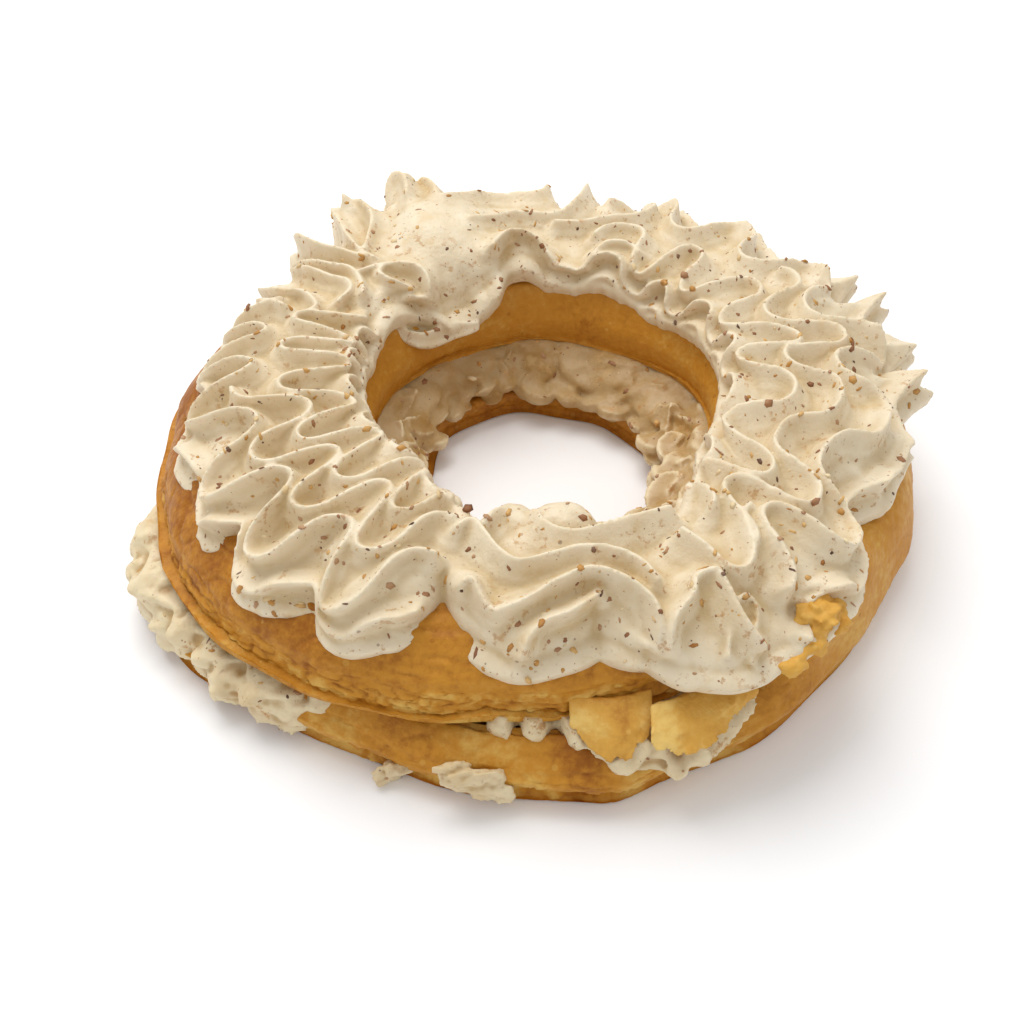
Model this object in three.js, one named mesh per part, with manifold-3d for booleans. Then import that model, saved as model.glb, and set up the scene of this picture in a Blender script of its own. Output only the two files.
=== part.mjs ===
// Paris-Brest: a ring of choux pastry cut level, filled with praline cream
// and topped with the same cream, piped through a star nozzle in a tight zigzag.
// Millimetres, +Z up. Angles are degrees, anticlockwise from +X seen from above.

import * as THREE from 'three';
import { mergeVertices } from 'three/addons/utils/BufferGeometryUtils.js';
import Module from 'manifold-3d';

// ---------------------------------------------------------------- driving dimensions

const GAP = 0.3;                  // clear space between touching pieces
const WELD = 0.01;                // points closer than this are one

const HOLE_RADIUS = 33;           // the open middle, at the bottom half
const BASE_RADIUS = 101.5;        // outside of the bottom half
const BASE_FLOOR_INSET = 8;       // the outside turns in this much to the floor
const BASE_BELLY = 8;             // height where the outside is widest
const BASE_SEAT = 13;             // height of the ledge beside the lid
const BASE_CUT = 11;              // height of the cut face at the crown
const BASE_RIM = 16.5;            // height of the outer rim
const BASE_HEEL = 9;              // height of the inner rim
const SHOULDER_RISE = 11;         // how much higher the uncut right side stands

const LID_RADIUS = 92.5;          // outside of the lid
const LID_SHIFT = [-9, -0.5];     // the lid sits off centre, towards the left
const LID_SWELL = 4;              // it spreads this much further at the front left
const LID_HOLE = 44;              // inside of the lid
const LID_SEAM = 18.8;            // height of the lid's cut face
const LID_TOP = 38;               // height of the lid's crown
const LID_ROUND = 22;             // width of the rounded outer shoulder
const LID_INNER_ROUND = 9;        // width of the rounded inner shoulder
const LID_INNER_FALL = 5;         // how far that shoulder falls
const LID_ARCH = 0.8;             // the cut face's rise towards the hole
const CROWN_RADIUS = 66;          // middle of the ring's width
const FLAKE_STEP = 1.2;           // depth of the flaky cracks along the lid's edge

const CREAM_MIDDLE = 70.5;        // radius about which the nozzle swings
const CREAM_SWING = 9.5;          // how far it swings out and in
const CREAM_REACH = 22;           // half the star's width
const CREAM_EDGE = 94.5;          // how far out the cream spreads
const CREAM_INNER = 45.5;         // how far in it spreads
const CREAM_FRONT = 9;            // it keeps this much further from the hole at the front
const CREAM_HEART = 37.5;         // height of the middle of its section
const CREAM_RISE = 13.2;          // how high its top stands above that
const CREAM_SAG = 3;              // how far it sags at the outside
const CREAM_HEM = 36.5;           // height at which it ends on the lid's inner wall
const CREAM_HEM_TURN = 0.35;      // that end lies this share of the rise below the heart
const CREAM_BOX = 2.5;            // how boxy its section is: 2 is an ellipse
const CREAM_FOOT = 26;            // it reaches down to here before the crust is cut away
const CREAM_SECTIONS = 150;       // sections round the ring
const CREAM_LOOP = 0.1;           // how much the turns are rounded
const CREAM_STATIONS = 40;        // points along each pass
const STAR_TEETH = 10;            // teeth round the star nozzle
const STAR_SIDE_SWING = 0.2;      // how far the side ridges swing, in radians
const RIDGE_DEPTH = 7.5;          // depth of the hollows between ridges
const RIDGE_WIDTH = 5.6;          // how far from a ridge a hollow is deepest
const RIDGE_SHARP = 2.2;          // how sharply the ridges rise
const RIDGE_TILT = 0.8;           // how far the ridges point out and in at the sides
const KNOT = { at: 118, width: 17, rise: 0.36 };  // the end of the piping stands higher
const RING_SECTIONS = 48;         // sections round each choux ring

const FILLING_BULGE = 4;          // how far the filling swells into the hole
const FILLING_EDGE = 13;          // how far inside the bottom half's edge it ends
const FILLING_PRESSED = 6;        // it is pressed this much further out at the left
const FILLING_LIP = 15.5;         // height at which it swells into the hole most
const FILLING_SKIRT = 16.9;       // height at which it passes over the outer rim
const DOLLOP_SIDES = 8;           // meridians of one dollop, ridge and groove by turns
const DOLLOP_RINGS = 5;           // rows of faces from pole to pole
const DOLLOP_GROOVE = 0.82;       // a groove's radius as a share of a ridge's
const DOLLOP_SQUAT = 0.95;        // its length along the poles, as a share
const DOLLOP_SKEW = 0.4;          // the poles lie this far off the ring's direction
const FLAKE_SECTIONS = 7;         // sections along one torn strip
const FLAKE_RAGGED = 1.1;         // how unevenly it is torn

// Where the outline swells out or draws in: angle, width and size of each swell.
const BASE_BULGES = [
  { at: 213, width: 16, size: 8.5 },
  { at: 268, width: 12, size: 1.8 },
  { at: 278, width: 4, size: 1.6 },
  { at: 322, width: 22, size: -3.4 },
  { at: 2, width: 20, size: 3 },
];
const CREAM_BULGES = [
  { at: 160, width: 25, size: -3 },
  { at: 253, width: 5, size: -9 },
  { at: 275, width: 6, size: -6 },
  { at: 299, width: 9, size: 8 },
  { at: 327, width: 5, size: -8 },
  { at: 20, width: 14, size: 5 },
  { at: 52, width: 16, size: 3.5 },
];

// The angles at which the piping turns, out and in by turns.
const TURNS = [
  129, 134, 139, 146, 153, 160, 167, 172.5, 178, 184, 190.5, 200.5, 209.5, 217.5,
  224.5, 234, 239, 249, 260.5, 273, 289, 296, 302, 309.5, 317, 329, 346.5, 358,
  365.5, 375, 387, 397.5, 407, 416, 425, 443, 461, 470, 489,
];
// Turns that swing less than the others, as a share of the full swing.
const SHORT_TURNS = new Map([
  [249, 0.9], [260.5, 0.1], [273, 0.35], [289, 0.8], [296, 0.3], [346.5, 0.5], [461, 0.4],
]);

// Lumps and curls on the knot where the piping ends, and one lobe at the front.
const KNOT_DOLLOPS = [
  { at: 139, radius: 53, height: 44.5, size: 8.5 },
  { at: 121, radius: 47, height: 37.5, size: 7.5 },
  { at: 116, radius: 68, height: 46.0, size: 11.0 },
  { at: 117, radius: 86, height: 47.0, size: 9.5 },
  { at: 131, radius: 89, height: 42.5, size: 9.0 },
  { at: 271, radius: 55, height: 40.0, size: 7.0 },
];

// Cream pressed out of the seam, by angle: radius, height and size of each dollop.
const SEAM_DOLLOPS = [
  { at: 196, radius: 103, height: 14.5, size: 9.0 },
  { at: 206, radius: 103.5, height: 13.0, size: 9.0 },
  { at: 214, radius: 104, height: 12.0, size: 7.5 },
  { at: 225, radius: 102, height: 14.0, size: 7.5 },
  { at: 234, radius: 101, height: 13.0, size: 7.5 },
  { at: 241, radius: 99, height: 14.0, size: 5.5 },
  { at: 280, radius: 94, height: 13.5, size: 10.5 },
  { at: 287, radius: 94, height: 12.5, size: 10.5 },
  { at: 294, radius: 92, height: 14.0, size: 9.0 },
];

// Strips of crust torn from the lid's edge: span of angles, width, heights.
const FLAKES = [
  { name: 'crust_flake_left', from: 276, to: 286, width: 7.5, low: 19.3, high: 22.3 },
  { name: 'crust_flake_right', from: 287, to: 297, width: 9.0, low: 20.0, high: 23.5 },
];

// ---------------------------------------------------------------- small helpers

const wasm = await Module();
wasm.setup();

const radians = (degrees) => degrees * Math.PI / 180;
const clamp = (value, low, high) => Math.min(high, Math.max(low, value));
const mix = (a, b, share) => a + (b - a) * share;

/** An even swell round one angle: 1 there, fading over the given width. */
function swell(angle, centre, width) {
  const away = ((angle - centre + 540) % 360 + 360) % 360 - 180;
  return Math.exp(-((away / width) ** 2));
}

/** 0 outside a span of angles, 1 inside it, with soft ends. */
function span(angle, from, to, soft) {
  const middle = (from + to) / 2;
  const away = Math.abs(((angle - middle + 540) % 360 + 360) % 360 - 180);
  const share = clamp(((to - from) / 2 + soft - away) / soft, 0, 1);
  return share * share * (3 - 2 * share);
}

/** The sum of a list of swells at an angle. */
function bulge(bulges, angle) {
  return bulges.reduce((sum, one) => sum + one.size * swell(angle, one.at, one.width), 0);
}

/** A repeatable unevenness between -1 and 1. */
function uneven(count, seed) {
  return 0.6 * Math.sin(count * 2.4 + seed) + 0.4 * Math.sin(count * 5.7 + seed * 1.7);
}

/** A closed mesh through rings of points; the last ring joins the first, or both
 *  ends are capped from the middle of their ring. */
function skin(rings, closed) {
  const count = rings[0].length;
  const points = rings.flat();
  const faces = [];
  const last = closed ? rings.length : rings.length - 1;
  for (let i = 0; i < last; i += 1) {
    const here = i * count;
    const next = ((i + 1) % rings.length) * count;
    for (let j = 0; j < count; j += 1) {
      const k = (j + 1) % count;
      faces.push(here + j, here + k, next + k);
      faces.push(here + j, next + k, next + j);
    }
  }
  if (!closed) {
    for (const [start, flip] of [[0, true], [(rings.length - 1) * count, false]]) {
      const ring = points.slice(start, start + count);
      const middle = ring.reduce((sum, p) => sum.add(p), new THREE.Vector3());
      points.push(middle.divideScalar(count));
      for (let j = 0; j < count; j += 1) {
        const pair = [start + j, start + (j + 1) % count];
        faces.push(points.length - 1, ...(flip ? pair.reverse() : pair));
      }
    }
  }
  const geometry = new THREE.BufferGeometry().setFromPoints(points);
  geometry.setIndex(faces);
  return geometry;
}

/** A manifold solid of a closed mesh. */
function solid(geometry) {
  const merged = mergeVertices(geometry);
  return new wasm.Manifold(new wasm.Mesh({
    numProp: 3,
    vertProperties: new Float32Array(merged.attributes.position.array),
    triVerts: new Uint32Array(merged.index.array),
  }));
}

/** The same surface with all points that lie within a distance made one. */
function welded(geometry, distance) {
  const places = geometry.attributes.position;
  const cells = new Map();
  const sides = [-1, 0, 1];
  const around = sides.flatMap((x) => sides.flatMap((y) => sides.map((z) => [x, y, z])));
  const kept = [];
  const stands = [];
  for (let i = 0; i < places.count; i += 1) {
    const point = new THREE.Vector3().fromBufferAttribute(places, i);
    const cell = point.toArray().map((value) => Math.floor(value / distance));
    const near = around
      .map((step) => cells.get(cell.map((value, k) => value + step[k]).join()))
      .find((k) => k !== undefined && kept[k].distanceTo(point) < distance);
    if (near === undefined) {
      cells.set(cell.join(), kept.length);
      kept.push(point);
    }
    stands.push(near ?? kept.length - 1);
  }
  const faces = [];
  for (let i = 0; i < geometry.index.count; i += 3) {
    const face = [0, 1, 2].map((k) => stands[geometry.index.getX(i + k)]);
    if (new Set(face).size === 3) {
      faces.push(...face);
    }
  }
  const result = new THREE.BufferGeometry().setFromPoints(kept);
  result.setIndex(faces);
  return result;
}

/** The surface of a manifold solid. */
function surface(body) {
  const mesh = body.getMesh();
  const geometry = new THREE.BufferGeometry();
  geometry.setAttribute('position', new THREE.BufferAttribute(mesh.vertProperties, 3));
  geometry.setIndex(new THREE.BufferAttribute(mesh.triVerts, 1));
  return geometry;
}

/** A three.js mesh of a manifold solid. */
function piece(name, body, colour, roughness) {
  const material = new THREE.MeshStandardMaterial({ color: colour, roughness, metalness: 0 });
  const result = new THREE.Mesh(surface(body), material);
  result.name = name;
  return result;
}

/** A ring whose section changes round it; the section is a list of [radius, height],
 *  anticlockwise, and grow moves its outline out. */
function ring(section, steps, grow = 0) {
  const rings = [];
  for (let i = steps; i > 0; i -= 1) {
    const angle = 360 * i / steps;
    const turn = radians(angle);
    rings.push(grown(section(angle), grow).map(([r, z]) => (
      new THREE.Vector3(r * Math.cos(turn), r * Math.sin(turn), z))));
  }
  return solid(skin(rings, true));
}

/** An outline moved out by a distance, with its corners mitred. */
function grown(outline, distance) {
  const side = ([ax, ay], [bx, by]) => {
    const length = Math.hypot(bx - ax, by - ay);
    return [(by - ay) / length, (ax - bx) / length];
  };
  return outline.map((point, i) => {
    const before = side(outline[(i + outline.length - 1) % outline.length], point);
    const after = side(point, outline[(i + 1) % outline.length]);
    const mitre = Math.max(0.4, 1 + before[0] * after[0] + before[1] * after[1]);
    return point.map((value, k) => value + distance * (before[k] + after[k]) / mitre);
  });
}

// ---------------------------------------------------------------- choux rings

/** Outer radius of the bottom half. */
function baseOuter(angle) {
  return BASE_RADIUS + bulge(BASE_BULGES, angle) + 0.4 * Math.sin(radians(angle * 17 + 40));
}

/** Inner radius of the bottom half. */
function baseInner(angle) {
  return HOLE_RADIUS + 1.2 * Math.sin(radians(angle * 3 + 70))
    + 0.6 * Math.sin(radians(angle * 8));
}

/** Outer radius of the lid, measured from the ring's axis. */
function lidOuter(angle) {
  const turn = radians(angle);
  const along = LID_SHIFT[0] * Math.cos(turn) + LID_SHIFT[1] * Math.sin(turn);
  const across = LID_SHIFT[0] * Math.sin(turn) - LID_SHIFT[1] * Math.cos(turn);
  return along + Math.sqrt(LID_RADIUS ** 2 - across ** 2) + LID_SWELL * swell(angle, 222, 22)
    + 0.4 * Math.sin(radians(angle * 9 + 20)) + 0.3 * Math.sin(radians(angle * 23));
}

/** Inner radius of the lid. */
function lidInner(angle) {
  return LID_HOLE + 1.4 * Math.sin(radians(angle * 2 + 60)) + 0.8 * Math.sin(radians(angle * 5));
}

/** Height of the lid's crust at a radius. */
function lidHeight(angle, radius) {
  const out = clamp((LID_ROUND - (lidOuter(angle) - radius)) / LID_ROUND, 0, 1);
  const inn = clamp((LID_INNER_ROUND - (radius - lidInner(angle))) / LID_INNER_ROUND, 0, 1);
  const fall = 1 - Math.sqrt(1 - out * out);
  const innerFall = 1 - Math.sqrt(1 - inn * inn);
  return LID_TOP - (LID_TOP - LID_SEAM) * fall - LID_INNER_FALL * innerFall;
}

/** Height of the lid's cut face, which rises a little towards the hole. */
function lidUnderside(angle, radius) {
  const inner = lidInner(angle) + 1.5;
  return LID_SEAM + LID_ARCH * clamp((CROWN_RADIUS - radius) / (CROWN_RADIUS - inner), 0, 1);
}

/** How much the uncut right side stands above the rim elsewhere, 0 to 1. */
function shoulder(angle) {
  return span(angle, 313, 385, 14);
}

/** Section of the bottom half. */
function baseSection(angle) {
  const inner = baseInner(angle);
  const outer = baseOuter(angle);
  const rise = SHOULDER_RISE * shoulder(angle);
  const wall = mix(outer - 12, lidOuter(angle) + 1.2, Math.min(1, 4 * shoulder(angle)));
  const crest = Math.max(outer - 9, wall + 1.5);
  return [
    [inner + 5, 0],
    [outer - BASE_FLOOR_INSET, 0],
    [outer - 2.2, 2.2],
    [outer, BASE_BELLY],
    [outer - 1.6, BASE_BELLY + 3 + rise * 0.3],
    [outer - 4.2, BASE_RIM - 3 + rise * 0.75],
    [crest, BASE_RIM + rise],
    [wall, mix(BASE_SEAT + 1, BASE_RIM + rise - 1.5, shoulder(angle))],
    [wall - 0.2, BASE_SEAT],
    [CROWN_RADIUS, BASE_CUT],
    [inner + 8, BASE_HEEL + 0.5],
    [inner + 1.5, BASE_HEEL - 0.5],
    [inner, 6],
    [inner + 1, 2],
  ];
}

/** Section of the lid, with two flaky cracks along its front edge. */
function lidSection(angle) {
  const inner = lidInner(angle);
  const outer = lidOuter(angle);
  const flaky = FLAKE_STEP * (0.25 + 0.75 * span(angle, 205, 290, 20));
  const dome = (inset) => [outer - inset, lidHeight(angle, outer - inset)];
  const [upperRadius, upperHeight] = dome(3.2);
  const [lowerRadius, lowerHeight] = dome(1.0);
  return [
    [inner + 1.5, LID_SEAM + LID_ARCH],
    [CROWN_RADIUS, LID_SEAM],
    [outer - 2, LID_SEAM],
    [outer, LID_SEAM + 1.2],
    [lowerRadius, lowerHeight],
    [lowerRadius - flaky, lowerHeight + 0.5],
    [upperRadius, upperHeight],
    [upperRadius - flaky, upperHeight + 0.5],
    dome(7.5),
    dome(13),
    [mix(inner, outer, 0.5), LID_TOP],
    [inner + LID_INNER_ROUND, LID_TOP],
    [inner + 4, lidHeight(angle, inner + 4)],
    [inner + 1, LID_TOP - 6.5],
    [inner - 0.6, LID_SEAM + 8],
    [inner, LID_SEAM + 2.5],
  ];
}

// ---------------------------------------------------------------- the piped cream

/** The piped path right round the ring: angles, and how far out it has swung. */
function pipedPath() {
  const side = (turn) => (turn % 2 === 0 ? 1 : -1) * (SHORT_TURNS.get(TURNS[turn]) ?? 1);
  const path = [];
  for (let turn = 0; turn + 1 < TURNS.length; turn += 1) {
    const pass = TURNS[turn + 1] - TURNS[turn];
    for (let k = 0; k <= CREAM_STATIONS; k += 1) {
      const share = k / CREAM_STATIONS;
      const rounding = CREAM_LOOP * pass * Math.sin(2 * Math.PI * share);
      const ease = (1 - Math.cos(Math.PI * share)) / 2;
      path.push({
        angle: TURNS[turn] + pass * share + rounding,
        swing: CREAM_SWING * mix(side(turn), side(turn + 1), ease),
      });
    }
  }
  return path;
}

/** How far the nozzle has swung out at an angle, and its slope there. */
function swungOut(path, angle) {
  const here = TURNS[0] + ((angle - TURNS[0]) % 360 + 360) % 360;
  const next = Math.max(1, path.findIndex((station) => station.angle >= here));
  const [a, b] = [path[next - 1], path[next]];
  const share = (here - a.angle) / Math.max(b.angle - a.angle, WELD);
  const along = radians(Math.max(b.angle - a.angle, WELD)) * CREAM_MIDDLE;
  return { swing: mix(a.swing, b.swing, clamp(share, 0, 1)), slope: (b.swing - a.swing) / along };
}

/** A point on the cream before its hollows are pressed in: turn goes round its section
 *  from the top, outwards. */
function creamSkin(angle, turn) {
  const [sine, cosine] = [Math.sin(turn), Math.cos(turn)];
  const size = (Math.abs(sine) ** CREAM_BOX + Math.abs(cosine) ** CREAM_BOX) ** (-1 / CREAM_BOX);
  const [side, rise] = [sine * size, cosine * size];
  const high = CREAM_RISE * (1 + KNOT.rise * swell(angle, KNOT.at, KNOT.width));
  const hem = CREAM_HEM - CREAM_HEART + CREAM_RISE * CREAM_HEM_TURN;
  const fall = (side > 0 ? -CREAM_SAG : hem) * side * side;
  return [CREAM_MIDDLE + side * creamReach(angle, side), CREAM_HEART + high * rise + fall];
}

/** How far the cream spreads to one side of the nozzle's middle path. */
function creamReach(angle, side) {
  const front = CREAM_FRONT * span(angle, 250, 305, 20);
  return side > 0
    ? CREAM_EDGE + bulge(CREAM_BULGES, angle) - CREAM_MIDDLE
    : CREAM_MIDDLE - CREAM_INNER - front;
}

/** Where each ridge of the star stands, as a turn round the section. */
function ridgeTurns(angle, swing) {
  const turns = [];
  for (let tooth = -3; tooth <= 3; tooth += 1) {
    const at = tooth * 2 * Math.PI / STAR_TEETH;
    const out = swing + CREAM_REACH * Math.sin(at);
    const side = clamp(out / creamReach(angle, out), -0.98, 0.98);
    const top = Math.atan2(side, (1 - Math.abs(side) ** CREAM_BOX) ** (1 / CREAM_BOX));
    turns.push(Math.abs(tooth) < 2 ? top : at + STAR_SIDE_SWING * swing / CREAM_SWING);
  }
  return turns;
}

/** Section of the piped cream: ridges with hollows between them, above a hidden foot. */
function creamSection(path, angle) {
  const { swing, slope } = swungOut(path, angle);
  const square = 1 / Math.hypot(1, slope);
  const calm = 1 - 0.8 * swell(angle, KNOT.at, KNOT.width);
  const turns = ridgeTurns(angle, swing);
  const last = turns.pop();
  const points = [];
  turns.forEach((turn, k) => {
    points.push(creamSkin(angle, turn));
    const next = turns[k + 1] ?? last;
    const shares = k === 2 || k === 3 ? [0.25, 0.5, 0.75] : [0.5];
    shares.forEach((share) => {
      const here = mix(turn, next, share);
      const [radius, height] = creamSkin(angle, here);
      const apart = [turn, next].map((ridge) => {
        const [r, z] = creamSkin(angle, ridge);
        return Math.hypot(r - radius, z - height);
      });
      const away = square * Math.min(...apart) / RIDGE_WIDTH;
      const inner = clamp((-here - radians(70)) / radians(30), 0, 1);
      const outer = clamp((here - radians(50)) / radians(40), 0, 1);
      const deep = RIDGE_DEPTH * calm * (1 - 0.6 * inner - 0.45 * outer);
      const hollow = deep * (1 - (1 - Math.min(1, away)) ** RIDGE_SHARP);
      const tilt = here * RIDGE_TILT;
      points.push([radius - hollow * Math.sin(tilt), height - hollow * Math.cos(tilt)]);
    });
  });
  points.push(creamSkin(angle, last));
  const foot = (side) => [CREAM_MIDDLE + side * creamReach(angle, side), CREAM_FOOT];
  return [foot(-0.5), foot(0.8), ...points.reverse()];
}

/** The highest point of a section at a radius, or nothing outside it. */
function topOf(section, radius) {
  let top = -Infinity;
  section.forEach(([r1, z1], i) => {
    const [r2, z2] = section[(i + 1) % section.length];
    if ((r1 - radius) * (r2 - radius) <= 0 && r1 !== r2) {
      top = Math.max(top, mix(z1, z2, (radius - r1) / (r2 - r1)));
    }
  });
  return top;
}

/** The largest body of a solid: loose scraps and sealed hollows are left out, and
 *  points that lie together are made one, which can free another scrap. */
function whole(body) {
  const largest = (one) => one.decompose().sort((a, b) => b.volume() - a.volume())[0];
  return largest(solid(welded(surface(largest(body)), WELD)));
}

/** A ridged ball of cream on the ring. */
function dollop({ at, radius, height, size }) {
  const ball = new THREE.SphereGeometry(size, DOLLOP_SIDES, DOLLOP_RINGS);
  const point = new THREE.Vector3();
  const places = ball.attributes.position;
  for (let i = 0; i < places.count; i += 1) {
    point.fromBufferAttribute(places, i);
    const side = Math.round(Math.atan2(point.z, point.x) / (Math.PI / DOLLOP_SIDES * 2));
    const ridge = side % 2 === 0 ? 1 : DOLLOP_GROOVE;
    places.setXYZ(i, point.x * ridge, point.y * DOLLOP_SQUAT, point.z * ridge);
  }
  ball.deleteAttribute('normal');
  ball.deleteAttribute('uv');
  const turn = radians(at);
  ball.rotateZ(DOLLOP_SKEW + turn);
  ball.translate(radius * Math.cos(turn), radius * Math.sin(turn), height);
  return solid(ball);
}

/** Section of the filling between the two halves. */
function fillingSection(angle) {
  const inner = baseInner(angle);
  const bulge = FILLING_BULGE * (0.5 + 0.5 * Math.sin(radians(angle * 13)));
  const pressed = FILLING_PRESSED * span(angle, 190, 246, 8);
  const outer = Math.min(baseOuter(angle) - FILLING_EDGE, lidOuter(angle) - 4);
  const over = (radius) => [radius, topOf(baseSection(angle), radius) + GAP];
  const under = (radius) => [radius, lidUnderside(angle, radius) - GAP];
  return [
    over(inner + 4.5),
    over(inner + 8),
    over(CROWN_RADIUS),
    over(outer),
    [outer + 0.5, FILLING_SKIRT],
    [outer + 1.5 + pressed, FILLING_SKIRT + 0.2],
    under(outer + pressed),
    under(CROWN_RADIUS),
    under(lidInner(angle) + 1.5),
    [lidInner(angle) - 2 - bulge * 0.5, LID_SEAM - 0.5],
    [inner + 4.5 - bulge, FILLING_LIP],
    [inner + 4 - bulge * 0.5, 11.5],
  ];
}

/** A torn strip of crust beside the lid's edge. */
function flake({ from, to, width, low, high }, grow = 0) {
  const rings = [];
  for (let i = 0; i <= FLAKE_SECTIONS; i += 1) {
    const share = i / FLAKE_SECTIONS;
    const angle = mix(from, to, share) + (share - 0.5) * grow;
    const fullness = 0.55 + 0.45 * Math.sin(Math.PI * share);
    const ragged = width * fullness + FLAKE_RAGGED * uneven(i, from);
    const inner = lidOuter(angle) + 2 * GAP;
    const outline = [
      [inner, low],
      [inner + ragged, low - 2.5],
      [inner + ragged + 0.8, low - 1.2],
      [inner + ragged * 0.6, mix(low, high, 0.6)],
      [inner, high],
    ];
    const turn = radians(angle);
    rings.push(grown(outline, grow).map(([r, z]) => (
      new THREE.Vector3(r * Math.cos(turn), r * Math.sin(turn), z))));
  }
  return solid(skin(rings.reverse(), false));
}

// ---------------------------------------------------------------- assembly

const base = ring(baseSection, RING_SECTIONS);
const baseRoom = ring(baseSection, RING_SECTIONS, GAP);
const lid = ring(lidSection, RING_SECTIONS);
const lidRoom = ring(lidSection, RING_SECTIONS, GAP);
const flakes = FLAKES.map((strip) => flake(strip));
const flakeRoom = FLAKES.map((strip) => flake(strip, GAP));
const crustRoom = [lidRoom, ...flakeRoom].reduce((all, one) => all.add(one), baseRoom);

const pressed = SEAM_DOLLOPS.map(dollop).reduce((all, one) => all.add(one));
const filling = whole(ring(fillingSection, RING_SECTIONS).add(pressed.subtract(crustRoom)));

const path = pipedPath();
const piped = ring((angle) => creamSection(path, angle), CREAM_SECTIONS);
const knot = KNOT_DOLLOPS.map(dollop).reduce((all, one) => all.add(one));
const cream = whole(piped.add(knot).subtract(crustRoom));

const pastry = new THREE.Group();
pastry.add(piece('base_ring', base, 0xc9893a, 0.6));
pastry.add(piece('filling_cream', filling, 0xd9c096, 0.6));
pastry.add(piece('lid_ring', lid, 0xc07a2c, 0.55));
flakes.forEach((strip, i) => pastry.add(piece(FLAKES[i].name, strip, 0xcf9a4a, 0.7)));
pastry.add(piece('top_cream', cream, 0xe6d3ae, 0.55));

const bounds = new THREE.Box3().setFromObject(pastry);
const middle = bounds.getCenter(new THREE.Vector3());
pastry.position.set(-middle.x, -middle.y, -bounds.min.z);

export default pastry;
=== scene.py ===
import math

import bmesh
import bpy
import numpy as np
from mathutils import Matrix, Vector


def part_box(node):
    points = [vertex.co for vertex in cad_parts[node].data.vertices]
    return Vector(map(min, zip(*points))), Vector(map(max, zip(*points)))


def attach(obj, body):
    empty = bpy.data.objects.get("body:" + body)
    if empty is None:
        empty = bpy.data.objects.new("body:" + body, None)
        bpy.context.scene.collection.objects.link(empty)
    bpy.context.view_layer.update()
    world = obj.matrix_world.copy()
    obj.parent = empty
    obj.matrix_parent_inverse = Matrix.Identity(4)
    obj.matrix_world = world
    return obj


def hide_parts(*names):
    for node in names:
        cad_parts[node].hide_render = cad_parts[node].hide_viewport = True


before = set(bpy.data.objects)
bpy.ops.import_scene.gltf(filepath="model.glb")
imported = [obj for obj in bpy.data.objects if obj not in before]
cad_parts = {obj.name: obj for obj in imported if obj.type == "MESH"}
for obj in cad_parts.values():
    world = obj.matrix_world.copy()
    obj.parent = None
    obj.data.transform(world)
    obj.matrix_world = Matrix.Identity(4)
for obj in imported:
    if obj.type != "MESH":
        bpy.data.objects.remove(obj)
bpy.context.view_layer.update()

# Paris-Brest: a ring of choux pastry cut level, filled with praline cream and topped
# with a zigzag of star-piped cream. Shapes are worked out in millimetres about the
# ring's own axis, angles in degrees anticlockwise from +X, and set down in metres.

# ---- sizes, in mm

HOLE_RADIUS = 33.0
BASE_RADIUS = 101.5
BASE_BELLY = 8.0
BASE_RIM = 16.5
BASE_HEEL = 9.0
BASE_SEAT = 13.0
BASE_CUT = 11.0
# The uncut shoulder at the right: its stretch, and how much higher the base stands there.
SHOULDER = (313, 385, 14)
SHOULDER_RISE = 11.0
# Where the base bulges or draws in: angle, width and size.
BASE_BULGES = ((213, 16, 8.5), (268, 12, 1.8), (278, 4, 1.6), (322, 22, -3.4), (2, 20, 3.0))

LID_RADIUS = 92.5
LID_SHIFT = (-9.0, -0.5)
LID_HOLE = 44.0
# Where the lid's hole is cut wider at the front, and by how much.
LID_FRONT = (258, 315, 20)
LID_FRONT_CUT = 8
LID_SEAM = 18.8
LID_TOP = 38.0
LID_ROUND = 22.0
LID_INNER_ROUND = 9.0
LID_ARCH = 0.8
CROWN_RADIUS = 66.0

RING_STEPS = 900

# Where the piped cream turns, first out, then in, anticlockwise from behind the knot.
PIPED_TURNS = (
    129, 134, 139, 146, 153, 160, 167, 172.5, 178, 184, 190.5, 200.5, 209.5, 217.5,
    224.5, 234, 239, 249, 260.5, 273, 289, 296, 302, 309.5, 317, 329, 346.5, 358,
    365.5, 375, 387, 397.5, 407, 416, 425, 443, 461, 470, 489,
)
PIPED_MIDDLE = 70.5
PIPED_SWING = 9.5
PIPED_HALF_WIDTH = 22.0
PIPED_INNER = 45.5
PIPED_RISE = 13.2
PIPED_HEART = 37.5
PIPED_TEETH = 10
PIPED_LOOP = 0.1
PIPED_SAG = 3.0
# How boxy the cream's section is (2 is round), and how much more so beside the knot.
PIPED_BOX = 2.5
KNOT_BOX = 2.5
# How much narrower the cream is at the front of the hole, and wider beside the knot, with
# the stretches: low and high angle, and how soft the ends are.
PIPED_FRONT, FRONT_STRETCH = 8.0, (250, 305, 20)
KNOT_FLANK, FLANK_STRETCH = 8.0, (108, 131, 8)
# Stretches where the outer edge ends in points.
POINTED_RIGHT = (325, 450, 8)
POINTED_KNOT = (126, 158, 6)
# How steeply the points at the right curl up, and from how far out.
POINT_CURL = 0.38
POINT_START = 24
# Turns that swing less than the others, as a share of the full swing.
SHORT_TURNS = {249: 0.9, 260.5: 0.1, 273: 0.35, 289: 0.8, 296: 0.3, 329: 0.9, 346.5: 0.5,
               358: 1.0, 443: 1.0, 461: 0.4}
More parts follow.
